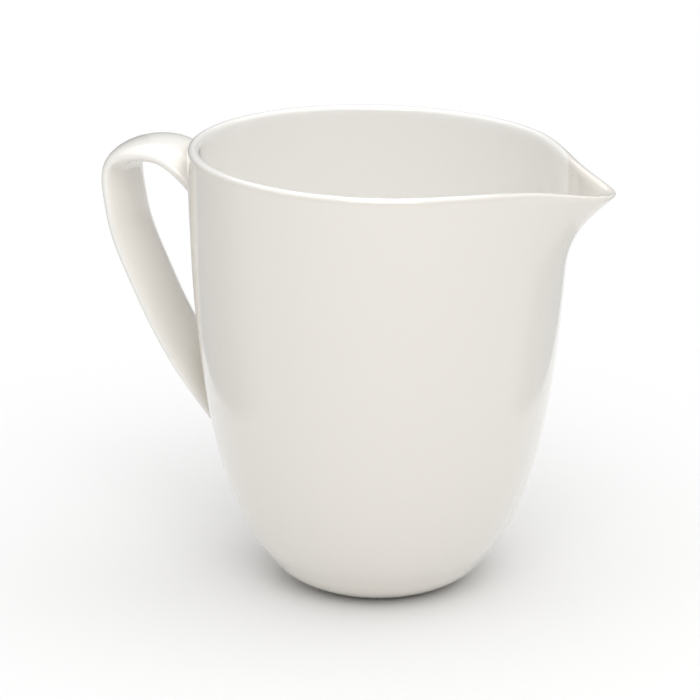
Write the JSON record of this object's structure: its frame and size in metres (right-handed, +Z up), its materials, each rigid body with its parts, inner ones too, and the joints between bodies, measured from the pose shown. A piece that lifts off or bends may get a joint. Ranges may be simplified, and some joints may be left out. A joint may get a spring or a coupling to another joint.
{
  "type": "ceramic pitcher",
  "caption": "Glazed ceramic pitcher: a tall round-bottomed bowl with a sloping rim, a pinched pouring spout and a strap handle opposite it.",
  "frame": {"origin": "centre of the foot ring, in the plane that the pitcher stands on", "axes": "+Z up along the bowl's axis, +X toward the spout, -X toward the handle, +Y to the left of someone who looks along +X"},
  "size_m": [0.1652, 0.118, 0.1414],
  "materials": {
    "bowl_glaze": "gloss",
    "handle_glaze": "gloss",
    "slip_glaze": "gloss"
  },
  "bodies": {
    "root": {"body": "bowl_glaze", "handle": "handle_glaze", "upper_slip_joint": "slip_glaze", "lower_slip_joint": "slip_glaze"}
  },
  "joints": []
}
